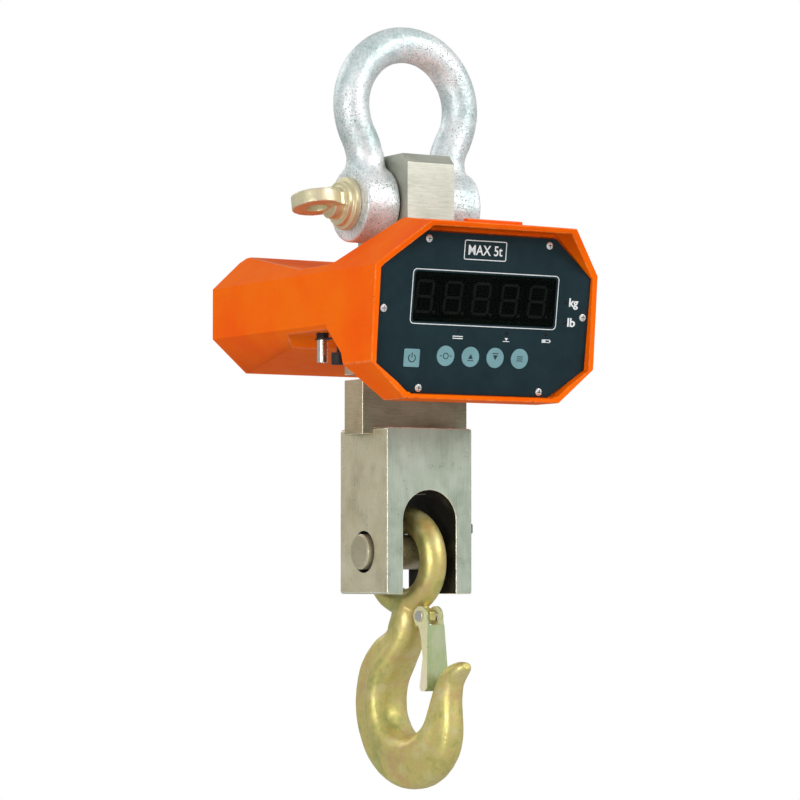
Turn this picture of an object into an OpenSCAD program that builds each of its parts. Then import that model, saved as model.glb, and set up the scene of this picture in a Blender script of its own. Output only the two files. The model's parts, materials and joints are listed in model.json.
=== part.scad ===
// Electronic crane scale, 5 t: bow shackle, load block, S-type load cell, clevis and eye hook,
// with a cast octagonal indicator housing round the load cell.
// Millimetres. +Z up, the display faces -Y. The origin is the inner top of the shackle bow.

/* [Shackle] */
// Radius of the bow's centre line
bow_r = 60; // [50:1:80]
// Radius of the round bar
bar_r = 17; // [14:0.5:20]
// Height of the screw pin's axis
pin_z = -138; // [-160:1:-120]
// Radius of the screw pin
pin_r = 17.5; // [14:0.5:20]
// Gap between the two eyes
jaw = 53.4; // [50:0.2:60]
// Outer face of each eye
eye_x = 62.5; // [58:0.5:66]
// Radius of each eye
eye_r = 36; // [30:0.5:40]

/* [Load path] */
// Width of the load block
block_w = 51.4; // [40:0.2:52]
// Depth of the load block
block_d = 91.4; // [60:0.2:100]
// Top of the load block
block_top = -91.5; // [-100:0.5:-85]
// Joint between the load block and the load cell
cell_top = -232; // [-240:1:-225]
// Underside of the load cell
cell_bottom = -354.5; // [-360:0.5:-345]
// Width of the load cell
cell_w = 114.7; // [90:0.1:125]
// Thickness of the load cell
cell_d = 33.7; // [25:0.1:45]

/* [Clevis] */
// Width across the cheeks
clevis_w = 92.4; // [80:0.2:110]
// Depth of the clevis
clevis_d = 86; // [60:1:100]
// Top of the clevis
clevis_top = -348.5; // [-352:0.5:-345]
// Underside of the clevis
clevis_bottom = -503.5; // [-510:0.5:-495]
// Width of the slot for the hook's eye
slot_w = 57.8; // [50:0.2:64]
// Height of the hook pin's axis
hook_z = -464; // [-470:1:-455]
// Radius of the hook pin
hook_pin_r = 16.5; // [14:0.5:18]

/* [Hook] */
// Radius of the eye's centre line
hook_eye_r = 38.4; // [35:0.1:42]
// Radius of the eye's bar
hook_bar_r = 12.8; // [10:0.1:14]
// Turn of the hook in the clevis, front seen from above
hook_turn = 10; // [0:1:14]
// Half width of the latch over its ears
latch_w = 10.5; // [10:0.1:12]
// Half width of the latch at its lower end
latch_foot = 14; // [12:0.1:15]

/* [Housing] */
// Half width of the housing
half_w = 120; // [100:1:140]
// Wall thickness
wall = 6; // [4:0.5:8]
// Rear end of the housing
rear_y = 163.4; // [150:0.2:175]
// Half depth of the well round the load path
well = 54; // [50:1:60]

/* [Panel] */
// Forward lean of the panel in degrees
lean = 8.2; // [0:0.1:15]
// Half width of the panel
panel_w = 113.5; // [100:0.5:125]
// Travel of a key
key_travel = 0.8; // [0.4:0.1:1.5]
// Pitch of the round keys
key_pitch = 26.6; // [20:0.2:30]

/* [Hidden] */
$fn = 72;
fit = 0.05;
bow_z = bar_r - bow_r;
neck_x = jaw / 2 + bar_r + 1;
neck_z = bow_z - sqrt(pow(2 * bow_r, 2) - pow(neck_x + bow_r, 2));
sweep = 90 + acos((neck_x + bow_r) / (2 * bow_r));
arch_z = clevis_top - 58 - slot_w / 2;
eye_drop = hook_eye_r - hook_bar_r - hook_pin_r - 0.3;
chamfer = 1.086;
shoulder = -209;
ledge_z = -295.5;
mid_z = -247.5;
rear_in = rear_y - 2;
digit_pitch = 30.4;
round_keys = [for (i = [0 : 3]) 1.5 + (i - 1.5) * key_pitch];
panel_screw_at = [[-65, 64.6], [65, 64.6], [-107.3, 0], [107.3, 0], [-65, -70.5], [65, -70.5]];
led_at = [[87.6, 13.2], [87.6, -5.4], [-26.6, -17.6], [25.6, -17.4], [68.4, -17]];
power_key_at = [-74, -43.6, 0];
standoff_at = [[-92, 26], [92, 26], [-92, -30], [92, -30]];
rear_screw_at = [[-70, -189], [70, -189], [-109, -232], [109, -232], [-70, -276], [70, -276]];
spring_turns = 3;

// A rod of radius r along X from a to b.
module rod_x(r, a, b) {
  translate([a, 0, 0]) rotate([0, 90, 0]) cylinder(r = r, h = b - a);
}

// A rod of radius r along Y from a to b.
module rod_y(r, a, b) {
  translate([0, b, 0]) rotate([90, 0, 0]) cylinder(r = r, h = b - a);
}

// A (y, z) outline made w wide in X, centred.
module slab_x(w) {
  translate([-w / 2, 0, 0]) rotate([90, 0, 90]) linear_extrude(w) children();
}

// An (x, z) outline run from y = a to y = b.
module slab_y(a, b) {
  translate([0, b, 0]) rotate([90, 0, 0]) linear_extrude(b - a) children();
}

// Panel coordinates: x across, y up along the panel, z out of its front face.
module on_panel() {
  translate([0, -138.2, mid_z]) rotate([90 + lean, 0, 0]) children();
}

// Hook coordinates: the eye pin's axis is the origin, the tip points to -Y.
module at_hook() {
  translate([0, 0, hook_z]) rotate([0, 0, hook_turn]) children();
}

// ---- Shackle ----

// One leg below the bow. Each length is forged a little thicker than the one it grows from.
module shackle_leg() {
  translate([neck_x + bow_r, 0, neck_z]) rotate([90, 0, 0]) rotate([0, 0, 268 - sweep])
    rotate_extrude(angle = sweep - 90) translate([bow_r, 0]) circle(r = bar_r + 0.3);
  translate([neck_x, 0, pin_z + 20]) cylinder(r = bar_r + 0.6, h = neck_z - pin_z - 17);
  translate([0, 0, pin_z]) rod_x(eye_r, jaw / 2, eye_x);
}

module shackle_bow() {
  color("silver") difference() {
    union() {
      translate([0, 0, bow_z]) rotate([90, 0, 0]) rotate([0, 0, 90 - sweep])
        rotate_extrude(angle = 2 * sweep) translate([bow_r, 0]) circle(r = bar_r);
      shackle_leg();
      mirror([1, 0, 0]) shackle_leg();
    }
    translate([0, 0, pin_z]) rod_x(pin_r + fit, -eye_x - 10, eye_x + 10);
  }
}

module shackle_pin() {
  color("tan") translate([0, 0, pin_z]) difference() {
    union() {
      rod_x(pin_r, -eye_x - 1, eye_x + 1);
      rod_x(pin_r - 1.5, eye_x + 0.5, eye_x + 3);
      rod_x(25, -eye_x - 7, -eye_x - 0.2);
      rod_x(21, -eye_x - 12, -eye_x - 6);
      rod_x(15, -eye_x - 22, -eye_x - 11);
      rotate([-12, 0, 0]) translate([-97.5, 0, -6.5]) cylinder(r = 23.5, h = 13);
      rotate([-12, 0, 0]) translate([-90, -16, -6.5]) cube([18, 32, 13]);
    }
    rotate([-12, 0, 0]) translate([-97.5, 0, -10]) cylinder(r = 10, h = 20);
  }
}

// ---- Load path ----

module load_block() {
  c = 9;
  d = block_d / 2;
  color("gainsboro") difference() {
    slab_x(block_w) polygon([[-d, cell_top], [d, cell_top], [d, block_top - c],
      [d - c, block_top], [c - d, block_top], [-d, block_top - c]]);
    translate([0, 0, pin_z]) rod_x(pin_r + fit, -40, 40);
    for (s = [-1, 1]) translate([s * block_w / 2, 0, pin_z]) rotate([0, s * 90, 0])
      translate([0, 0, -1.5]) cylinder(r1 = pin_r, r2 = pin_r + 2, h = 2);
    translate([0, 0, cell_top - 1]) cylinder(r = 15 + fit, h = 38);
    for (x = [-15, 15]) translate([x, 0, -217]) {
      rod_y(4.05, -60, -28);
      rod_y(4.05, 28, 60);
    }
  }
}

module cell_stud() {
  color("dimgray") translate([0, 0, cell_top - 27]) cylinder(r = 15, h = 61);
}

module load_cell() {
  w = cell_w / 2;
  color("darkgray") difference() {
    slab_y(-cell_d / 2, cell_d / 2)
      polygon([[-w, cell_bottom], [-clevis_w / 2 - 0.3, cell_bottom],
        [-clevis_w / 2 - 0.3, clevis_top], [clevis_w / 2 + 0.3, clevis_top],
        [clevis_w / 2 + 0.3, cell_bottom], [w, cell_bottom], [w, cell_top], [-w, cell_top]]);
    translate([-36, -30, -267]) cube([100, 60, 5]);
    translate([-36, 0, -264.5]) rod_y(4, -30, 30);
    translate([-64, -30, -303]) cube([100, 60, 5]);
    translate([36, 0, -300.5]) rod_y(4, -30, 30);
    for (x = [-13, 13]) translate([x, 0, -282.5]) rod_y(12, -30, 30);
    translate([-13, -30, -287]) cube([26, 60, 9]);
    translate([0, 0, cell_top - 28]) cylinder(r = 15 + fit, h = 40);
    translate([0, 0, cell_bottom - 1]) cylinder(r = 12 + fit, h = 40);
  }
}

module cell_bolt() {
  head = arch_z + slot_w / 2 - 2;
  color("dimgray") difference() {
    union() {
      translate([0, 0, head]) cylinder(r = 18, h = 24);
      translate([0, 0, head + 23]) cylinder(r = 12, h = 60);
    }
    translate([0, 0, head - 1]) cylinder(r = 11, h = 13, $fn = 6);
  }
}

module clevis() {
  w = clevis_w / 2;
  c = 1.5;
  top = arch_z + slot_w / 2;
  color("lightgray") difference() {
    slab_y(-clevis_d / 2, clevis_d / 2)
      polygon([[c - w, clevis_bottom], [w - c, clevis_bottom], [w, clevis_bottom + c],
        [w, clevis_top - c], [w - c, clevis_top], [c - w, clevis_top], [-w, clevis_top - c],
        [-w, clevis_bottom + c]]);
    translate([-slot_w / 2, -60, clevis_bottom - 1]) cube([slot_w, 120, arch_z - clevis_bottom + 1]);
    translate([0, 0, arch_z]) rod_y(slot_w / 2, -60, 60);
    translate([0, 0, top - 3]) cylinder(r = 19, h = 25);
    translate([0, 0, top]) cylinder(r = 12.5, h = 70);
    translate([0, 0, hook_z]) rod_x(hook_pin_r + fit, -60, 60);
    translate([0, 0, hook_z]) rod_x(hook_pin_r + 2.6, -60, 7 - w);
    for (y = [-22, 22]) translate([0, y, hook_z + 22]) rod_x(4.05, w - 15, 60);
  }
}

module clevis_pin() {
  w = clevis_w / 2;
  color("silver") translate([0, 0, hook_z]) difference() {
    union() {
      rod_x(hook_pin_r, -w - 4, w + 10);
      rod_x(hook_pin_r - 1.2, -w - 5.2, w + 11);
    }
    translate([w - 0.2, -30, 10.8]) cube([5.4, 60, 20]);
  }
}

module pin_keeper() {
  w = clevis_w / 2;
  color("gray") difference() {
    translate([w, -32, hook_z + 11]) cube([5, 64, 22]);
    for (y = [-22, 22]) translate([0, y, hook_z + 22]) rod_x(4.3, w - 5, w + 10);
  }
}

module keeper_screws() {
  w = clevis_w / 2;
  color("dimgray") for (y = [-22, 22]) translate([0, y, hook_z + 22]) {
    rod_x(4, w - 14, w + 6);
    translate([w + 5.1, 0, 0]) rotate([0, 90, 0]) cylinder(r = 7.5, h = 5.3, $fn = 6);
  }
}

// ---- Hook and latch ----

// Stations along the hook: [forward, up, half depth, half thickness], from the pin's axis.
stations = [[2, -44, 13, 13], [3.5, -60, 16.5, 16.5], [-1, -73, 18.5, 19],
  [-11, -85, 20.5, 21], [-21.5, -98, 22, 22.5], [-31.5, -113, 23, 23],
  [-37.5, -130, 23.4, 23], [-38.5, -146, 23.8, 23], [-35, -162, 24.2, 23],
  [-24.5, -180, 25, 23], [-6.5, -192.8, 25.6, 22.5], [12, -196.4, 25.8, 22],
  [31, -191.8, 25, 21], [46.5, -179.4, 23, 19.5], [54, -164, 20, 17.5],
  [56.2, -148, 17.3, 15], [58.5, -135, 15, 13.5], [61.8, -124.4, 13.3, 12.5],
  [67.2, -116.2, 11.4, 11.5], [74.2, -111, 9, 10.5], [81, -107.4, 6.3, 8.5], [86, -105.2, 2.6, 4]];
ring = 20;

// Direction of the centre line at station i, as an angle from straight forward.
function turn(i) = let (a = stations[max(i - 1, 0)], b = stations[min(i + 1, len(stations) - 1)])
  atan2(b[1] - a[1], b[0] - a[0]);

// Corner k of the oval section at station i.
function corner(i, k) = let (s = stations[i], t = turn(i), q = 360 * k / ring)
  [s[3] * sin(q), -(s[0] - s[2] * cos(q) * sin(t)), s[1] + s[2] * cos(q) * cos(t)];

module hook_body() {
  n = len(stations);
  corners = [for (i = [0 : n - 1], k = [0 : ring - 1]) corner(i, k)];
  sides = [for (i = [0 : n - 2], k = [0 : ring - 1])
    let (m = (k + 1) % ring)
    for (h = [0, 1]) h == 0 ? [i * ring + k, i * ring + m, (i + 1) * ring + m]
      : [i * ring + k, (i + 1) * ring + m, (i + 1) * ring + k]];
  ends = [[for (k = [0 : ring - 1]) ring - 1 - k],
    [for (k = [0 : ring - 1]) (n - 1) * ring + k]];
  polyhedron(points = corners, faces = concat(sides, ends));
}

module hook() {
  color("khaki") at_hook() difference() {
    union() {
      translate([0, 0, -eye_drop]) rotate([0, 90, 0])
        rotate_extrude() translate([hook_eye_r, 0]) circle(r = hook_bar_r);
      hook_body();
      slab_x(8) polygon([[-10, -44], [-32, -53], [-38, -56], [-38, -64], [-30, -68], [-10, -72]]);
      translate([0, -32, -60]) rod_x(7.5, -4, 4);
    }
    translate([0, -32, -60]) rod_x(3.1, -20, 20);
  }
}

// Two ears on the pin, and a pressed channel that widens towards its lower end.
module latch() {
  spread = atan((latch_foot - latch_w) / 62);
  color("palegoldenrod") at_hook() difference() {
    union() {
      for (s = [-1, 1]) translate([s * (latch_w - 1.2), 0, 0]) slab_x(2.4)
        polygon([[-27, -66], [-27, -56], [-40, -56], [-42.8, -72], [-31, -72]]);
      for (s = [-1, 1]) translate([s * (latch_w - 1.2), -32, -60]) rod_x(9.3, -1.2, 1.2);
      for (s = [-1, 1]) translate([s * latch_w, 0, -68]) rotate([0, -s * spread, 0])
        translate([-s * 1.2, 0, 68]) slab_x(2.4)
          polygon([[-30, -68], [-42.6, -68], [-45.4, -126], [-42.5, -129.5], [-37, -129.5],
            [-35, -126], [-37.5, -98], [-34, -80]]);
      intersection() {
        slab_x(40) polygon([[-42.6, -68], [-45.4, -126], [-42.5, -129.5], [-40.5, -129.5],
          [-43, -126], [-40.2, -68]]);
        slab_y(-60, -20) polygon([[-latch_w, -68], [latch_w, -68], [latch_foot, -129.6],
          [-latch_foot, -129.6]]);
      }
    }
    translate([0, -32, -60]) rod_x(3.05, -20, 20);
  }
}

module latch_pin() {
  color("silver") at_hook() translate([0, -32, -60]) {
    rod_x(3, -latch_w - 0.5, latch_w + 0.5);
    rod_x(5, -latch_w - 2.6, -latch_w - 0.2);
    rod_x(5, latch_w + 0.2, latch_w + 2.6);
  }
}

module latch_spring() {
  color("gray") at_hook() translate([0, -32, -60]) for (s = [-1, 1]) {
    for (k = [0 : spring_turns - 1]) translate([s * (4.85 + 1.25 * k), 0, 0]) rotate([0, 90, 0])
      rotate_extrude() translate([4, 0]) circle(r = 0.65);
    translate([s * 7.35, -3.9, -9]) cylinder(r = 0.6, h = 9);
  }
}

// ---- Housing ----

// Octagon of the housing, taken in by d.
module octagon(d) {
  w = half_w - d;
  low = ledge_z + d * 0.42;
  top = shoulder - d * 0.42;
  run = (low + 327.5 - d) * 1.15;
  polygon([[-w, low], [run - w, d - 327.5], [w - run, d - 327.5], [w, low], [w, top],
    [w - 60 * chamfer, top + 60], [60 * chamfer - w, top + 60], [-w, top]]);
}

// Side view of the housing, taken in by d.
module side_view(d) {
  e = d > 0 ? 8 : 0;
  polygon([[-135.5 - e, -327.5 + d], [-146.2 - e, shoulder], [-175 - e, -169.8 - d],
    [-112, -161.4 - d], [-104 - d, -163.2 - d], [-56 - d, -198.5 - d], [-48, -201.5 - d],
    [4, -201.5 - d], [150, -177 - d], [158, -177.5 - d], [rear_y + e, -182 - d],
    [rear_y + e, -289.5 + d], [158, -289.5 + d], [36 + d, -272.5 + d], [24 + d, -261.5 + d],
    [-58 - d, -261.5 + d], [-84 - d, -285 + d], [-98 - d, -327.5 + d]]);
}

// Corner below the shallower rear box, taken in by d.
module rear_corner(d) {
  x = half_w - d + 10;
  z = -257.5 + d * 0.42;
  slab_y(-58, 190) polygon([[x, z + 8.7], [x, -345], [x - 10 - (z + 345) * 1.15, -345]]);
}

module housing_solid(d) {
  difference() {
    intersection() {
      slab_x(2 * half_w + 20) side_view(d);
      slab_y(-190, 180) octagon(d);
    }
    rear_corner(d);
    mirror([1, 0, 0]) rear_corner(d);
  }
}

// Octagonal outline of the front panel, grown by g.
module panel_outline(g) {
  w = panel_w + g;
  polygon([[-w, -48.5 - g * 0.4], [-76 - g * 0.4, -75 - g], [76 + g * 0.4, -75 - g],
    [w, -48.5 - g * 0.4], [w, 36 + g * 0.4], [72 + g * 0.4, 71 + g], [-72 - g * 0.4, 71 + g],
    [-w, 36 + g * 0.4]]);
}

// Octagonal outline of the rear cover, grown by g.
module rear_outline(g) {
  w = panel_w + g;
  polygon([[-w, -257 - g * 0.4], [-86, -284 - g], [86, -284 - g], [w, -257 - g * 0.4],
    [w, -212 + g * 0.4], [84, -184 + g], [-84, -184 + g], [-w, -212 + g * 0.4]]);
}

module housing() {
  color("darkorange") difference() {
    union() {
      difference() {
        housing_solid(0);
        housing_solid(wall);
      }
      intersection() {
        housing_solid(wall - 1);
        union() {
          for (s = [-1, 1]) translate([-130, s * (well + 2.5) - 2.5, -340]) cube([260, 5, 200]);
          difference() {
            on_panel() translate([0, 0, -11]) linear_extrude(8) panel_outline(20);
            on_panel() translate([0, 0, -12]) linear_extrude(10) panel_outline(-13);
          }
          difference() {
            slab_y(rear_in - 13, rear_in - 5) rear_outline(20);
            slab_y(rear_in - 14, rear_in - 4) rear_outline(-12);
          }
          for (x = [-39, 0, 39]) translate([x - 3, 70, -290]) cube([6, 62, 25.9]);
          for (x = [-62, 62]) translate([x - 8, 84, -290]) cube([16, 34, 19.1]);
        }
      }
      translate([-4, -116, -166]) cube([60, 7, 7]);
    }
    on_panel() translate([0, 0, -5]) linear_extrude(60) panel_outline(0.6);
    slab_y(rear_in - 5, rear_y + 5) rear_outline(0.6);
    translate([-30, -50, -215]) cube([60, 100, 60]);
    translate([-62, -24, -300]) cube([124, 48, 60]);
    for (x = [-15, 15]) translate([x, 0, -217]) rod_y(4.3, -70, 70);
    translate([44, 0, -246]) rod_y(6, -70, -50);
    translate([95, 0, -235]) rod_y(6, -70, 70);
    translate([-95, 0, -235]) rod_y(6, 40, 70);
    translate([-97, -11, -280]) cylinder(r = 5.3, h = 30);
    for (x = [-62, 62]) translate([x, 101, -276]) cylinder(r = 2.05, h = 10);
    for (p = panel_screw_at) on_panel() translate([p[0], p[1], -12]) cylinder(r = 1.55, h = 10);
    for (p = rear_screw_at) translate([p[0], 0, p[1]]) rod_y(1.55, rear_in - 14, rear_in);
  }
}

module housing_spacers() {
  color("silver") for (x = [-15, 15], s = [-1, 1]) translate([x, 0, -217])
    difference() {
      rod_y(7, min(s * block_d / 2, s * well), max(s * block_d / 2, s * well));
      rod_y(4.2, -60, 60);
    }
}

module housing_screws() {
  far = well + 5;
  color("dimgray") for (x = [-15, 15], s = [-1, 1]) translate([x, 0, -217]) {
    rod_y(4, min(s * 29, s * (far + 1)), max(s * 29, s * (far + 1)));
    rod_y(6.5, min(s * far, s * (far + 5)), max(s * far, s * (far + 5)));
  }
}

module panel_gasket() {
  color("black") on_panel() translate([0, 0, -5]) difference() {
    linear_extrude(2) panel_outline(0);
    translate([0, 0, -1]) linear_extrude(4) panel_outline(-11);
    for (p = panel_screw_at) translate([p[0], p[1], -1]) cylinder(r = 1.9, h = 4);
  }
}

// ---- Front panel, display and keys ----

module rounded(w, h, r) {
  union() {
    square([w - 2 * r, h], center = true);
    square([w, h - 2 * r], center = true);
    for (x = [-1, 1], y = [-1, 1]) translate([x * (w / 2 - r), y * (h / 2 - r)]) circle(r = r);
  }
}

module front_panel() {
  color("darkslategray") on_panel() difference() {
    translate([0, 0, -3]) linear_extrude(3) panel_outline(0);
    translate([0, 12.2, -4]) linear_extrude(5) rounded(152.4, 45.4, 3.2);
    for (x = round_keys) translate([x, -40.6, -4]) cylinder(r = 9.4, h = 5);
    translate(power_key_at - [0, 0, 4]) linear_extrude(5) rounded(16.7, 16.7, 1.5);
    for (p = led_at) translate([p[0], p[1], -4]) cylinder(r = 1.6, h = 5);
    for (p = panel_screw_at) translate([p[0], p[1], -4]) cylinder(r = 1.8, h = 5);
  }
}

module panel_screws() {
  color("silver") on_panel() for (p = panel_screw_at) translate([p[0], p[1], 0])
    difference() {
      union() {
        translate([0, 0, -11.5]) cylinder(r = 1.5, h = 12);
        cylinder(r = 3.4, h = 1);
        translate([0, 0, 0.9]) cylinder(r1 = 3.4, r2 = 2.2, h = 0.9);
      }
      translate([-2.4, -0.4, 1.1]) cube([4.8, 0.8, 2]);
      translate([-0.4, -2.4, 1.1]) cube([0.8, 4.8, 2]);
    }
}

module display_window() {
  color("black") on_panel() translate([0, 12.2, -3]) linear_extrude(2.9) rounded(152.2, 45.2, 3.1);
}

module led_digits() {
  color("dimgray") on_panel() for (i = [-2 : 2]) translate([i * digit_pitch - 14, -6.8, -12.2])
    difference() {
      cube([28, 38, 8]);
      for (y = [0, 14, 28]) translate([9, 3.8 + y, 7.4]) cube([8.6, 2.4, 2]);
      for (x = [5.8, 18.4], y = [6.8, 20.8]) translate([x, y, 7.4]) cube([2.4, 10.4, 2]);
      translate([24.4, 5, 7.4]) cylinder(r = 1.3, h = 2);
    }
}

module main_board() {
  color("green") on_panel() translate([0, 0, -14]) difference() {
    translate([-98, -58, 0]) cube([196, 96, 1.6]);
    for (p = standoff_at) translate([p[0], p[1], -1]) cylinder(r = 1.7, h = 4);
  }
  color("dimgray") on_panel() translate([-60, -10, -16.6]) cube([24, 24, 2.6]);
  color("dimgray") on_panel() translate([10, -6, -16.4]) cube([18, 12, 2.4]);
  color("dimgray") on_panel() translate([40, 8, -21]) cube([20, 8, 7]);
}

module board_standoffs() {
  color("silver") on_panel() for (p = standoff_at) translate([p[0], p[1], 0]) {
    translate([0, 0, -12.4]) cylinder(r = 3.2, h = 9.4);
    translate([0, 0, -14.2]) cylinder(r = 1.6, h = 2);
    translate([0, 0, -16]) cylinder(r = 2.8, h = 2);
  }
}

module indicator_leds() {
  color("darkred") on_panel() for (p = led_at) translate([p[0], p[1], -12.4]) {
    cylinder(r = 1.9, h = 1);
    cylinder(r = 1.5, h = 11.4);
    translate([0, 0, 11.4]) sphere(r = 1.5);
  }
}

// Switches. A pressed key stops 0.1 mm above its plunger.
module tact_switches() {
  color("dimgray") on_panel() for (x = concat([power_key_at[0]], round_keys))
    translate([x, x < -70 ? power_key_at[1] : -40.6, -12.4]) {
      translate([-3, -3, 0]) cube([6, 6, 2]);
      cylinder(r = 1.7, h = 3.3 - key_travel);
    }
}

// A round key cap with its stem, retained behind the panel by a thin flange.
module round_key(x) {
  color("cadetblue") on_panel() translate([x, -40.6, 0]) {
    translate([0, 0, -4.2]) cylinder(r = 10.6, h = 1);
    translate([0, 0, -3.4]) cylinder(r = 9.3, h = 4.1);
    translate([0, 0, -9]) cylinder(r = 2.5, h = 5);
  }
}

module key_1() {
  round_key(round_keys[0]);
}

module key_2() {
  round_key(round_keys[1]);
}

module key_3() {
  round_key(round_keys[2]);
}

module key_4() {
  round_key(round_keys[3]);
}

module power_key() {
  color("cadetblue") on_panel() translate(power_key_at) {
    translate([0, 0, -4.2]) linear_extrude(1) rounded(19.6, 19.6, 1.9);
    translate([0, 0, -3.4]) linear_extrude(4.1) rounded(16.5, 16.5, 1.4);
    translate([0, 0, -9]) cylinder(r = 2.5, h = 5);
  }
}

// ---- Rear end ----

module rear_gasket() {
  color("black") difference() {
    slab_y(rear_in - 5, rear_in - 3) rear_outline(0);
    slab_y(rear_in - 6, rear_in - 2) rear_outline(-10);
    for (p = rear_screw_at) translate([p[0], 0, p[1]]) rod_y(1.9, rear_in - 8, rear_in);
  }
}

module rear_cover() {
  color("darkorange") difference() {
    union() {
      slab_y(rear_in - 3, rear_in) rear_outline(0);
      slab_y(rear_in - 0.1, rear_in + 1.2)
        polygon([[-60, -262], [60, -262], [72, -250], [72, -212], [60, -202], [-60, -202],
          [-72, -212], [-72, -250]]);
    }
    for (p = rear_screw_at) translate([p[0], 0, p[1]]) rod_y(1.8, rear_in - 8, rear_in + 5);
  }
}

module rear_screws() {
  color("silver") for (p = rear_screw_at) translate([p[0], 0, p[1]]) {
    rod_y(1.5, rear_in - 12, rear_in + 0.5);
    rod_y(3.4, rear_in, rear_in + 1.4);
  }
}

module battery() {
  color("dimgray") translate([-50, 66, -264]) {
    cube([100, 70, 47]);
    translate([8, 5, 46.9]) cube([84, 60, 2]);
  }
  color("gold") for (x = [-34, 34]) translate([x - 3, 60, -240]) cube([6, 7, 1]);
}

module battery_strap() {
  color("silver") difference() {
    translate([0, 101, 0]) slab_y(-12, 12)
      polygon([[-70, -270.9], [-51, -270.9], [-51, -213.5], [51, -213.5], [51, -270.9], [70, -270.9],
        [70, -269.4], [52.5, -269.4], [52.5, -212], [-52.5, -212], [-52.5, -269.4], [-70, -269.4]]);
    for (x = [-62, 62]) translate([x, 101, -280]) cylinder(r = 2.2, h = 20);
  }
}

module strap_screws() {
  color("dimgray") for (x = [-62, 62]) translate([x, 101, 0]) {
    translate([0, 0, -275]) cylinder(r = 2, h = 6);
    translate([0, 0, -269.4]) cylinder(r = 4, h = 2.4);
  }
}

// ---- Charging socket and leads ----

module charge_socket() {
  color("silver") translate([-97, -11, 0]) difference() {
    union() {
      translate([0, 0, -289]) cylinder(r = 5.2, h = 40);
      translate([0, 0, -255.4]) cylinder(r = 7.4, h = 3);
    }
    translate([0, 0, -290]) cylinder(r = 4, h = 13);
  }
}

module socket_collar() {
  color("black") translate([-97, -11, -266.4]) difference() {
    cylinder(r = 6.8, h = 4.8);
    translate([0, 0, -1]) cylinder(r = 5.25, h = 7);
  }
}

module socket_cap() {
  color("black") {
    difference() {
      translate([-97, -11, -268]) cylinder(r = 7, h = 1.5);
      translate([-97, -11, -269]) cylinder(r = 5.25, h = 4);
    }
    translate([-96.6, -16, -268]) rotate([0, 0, 10]) translate([-2, -17, 0]) cube([4, 16.2, 1.5]);
    translate([-93, -33, -282]) cylinder(r = 1.4, h = 15.5);
    translate([-93, -33, -292]) cylinder(r = 6.4, h = 11);
  }
}

module lead_grommets() {
  color("black") for (g = [[44, -1, -246], [95, -1, -235], [95, 1, -235], [-95, 1, -235]])
    translate([g[0], 0, g[2]]) difference() {
      union() {
        rod_y(6, g[1] * (well + 2.5) - 2.5, g[1] * (well + 2.5) + 2.5);
        rod_y(8, g[1] * (well + 2.5) - 4, g[1] * (well + 2.5) - 2.5);
        rod_y(8, g[1] * (well + 2.5) + 2.5, g[1] * (well + 2.5) + 4);
      }
      rod_y(3, -80, 80);
    }
}

// A lead of radius r through the points in list p, with a rounded joint at each bend.
module lead(p, r) {
  for (i = [0 : len(p) - 2]) {
    d = p[i + 1] - p[i];
    translate(p[i]) rotate([0, acos(d[2] / norm(d)), atan2(d[1], d[0])])
      cylinder(r = r, h = norm(d));
  }
  for (i = [1 : len(p) - 2]) translate(p[i]) sphere(r = r + 0.3);
}

module cell_lead() {
  color("black") lead([[44, -17.3, -246.2], [44.05, -80, -245.9], [46, -117.6, -233.5]], 2.5);
}

module power_lead() {
  color("black")
    lead([[37.4, 61.2, -239.5], [94.9, 67.2, -235.2], [95.1, -96, -234.8], [55.5, -116.4, -232]], 2.5);
}

module charge_lead() {
  color("black")
    lead([[-97, -11, -246.8], [-95.1, 25, -235.1], [-94.9, 64.3, -234.8], [-37.4, 62.4, -239.5]], 2);
}

shackle_bow();
shackle_pin();
load_block();
cell_stud();
load_cell();
cell_bolt();
clevis();
clevis_pin();
pin_keeper();
keeper_screws();
hook();
latch();
latch_pin();
latch_spring();
housing();
housing_spacers();
housing_screws();
panel_gasket();
front_panel();
panel_screws();
display_window();
led_digits();
main_board();
board_standoffs();
indicator_leds();
tact_switches();
power_key();
key_1();
key_2();
key_3();
key_4();
rear_gasket();
rear_cover();
rear_screws();
battery();
battery_strap();
strap_screws();
charge_socket();
socket_collar();
socket_cap();
lead_grommets();
cell_lead();
power_lead();
charge_lead();
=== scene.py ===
"""Looks of a hanging crane scale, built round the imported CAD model. Metres, +Z up, the display faces -Y.

Lengths in the shape functions are millimetres times MM. Nothing is drawn at random: every noise is a fixed
function of place.
"""
import json
import math

import bmesh
import bpy
from mathutils import Matrix, Vector, noise


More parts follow.
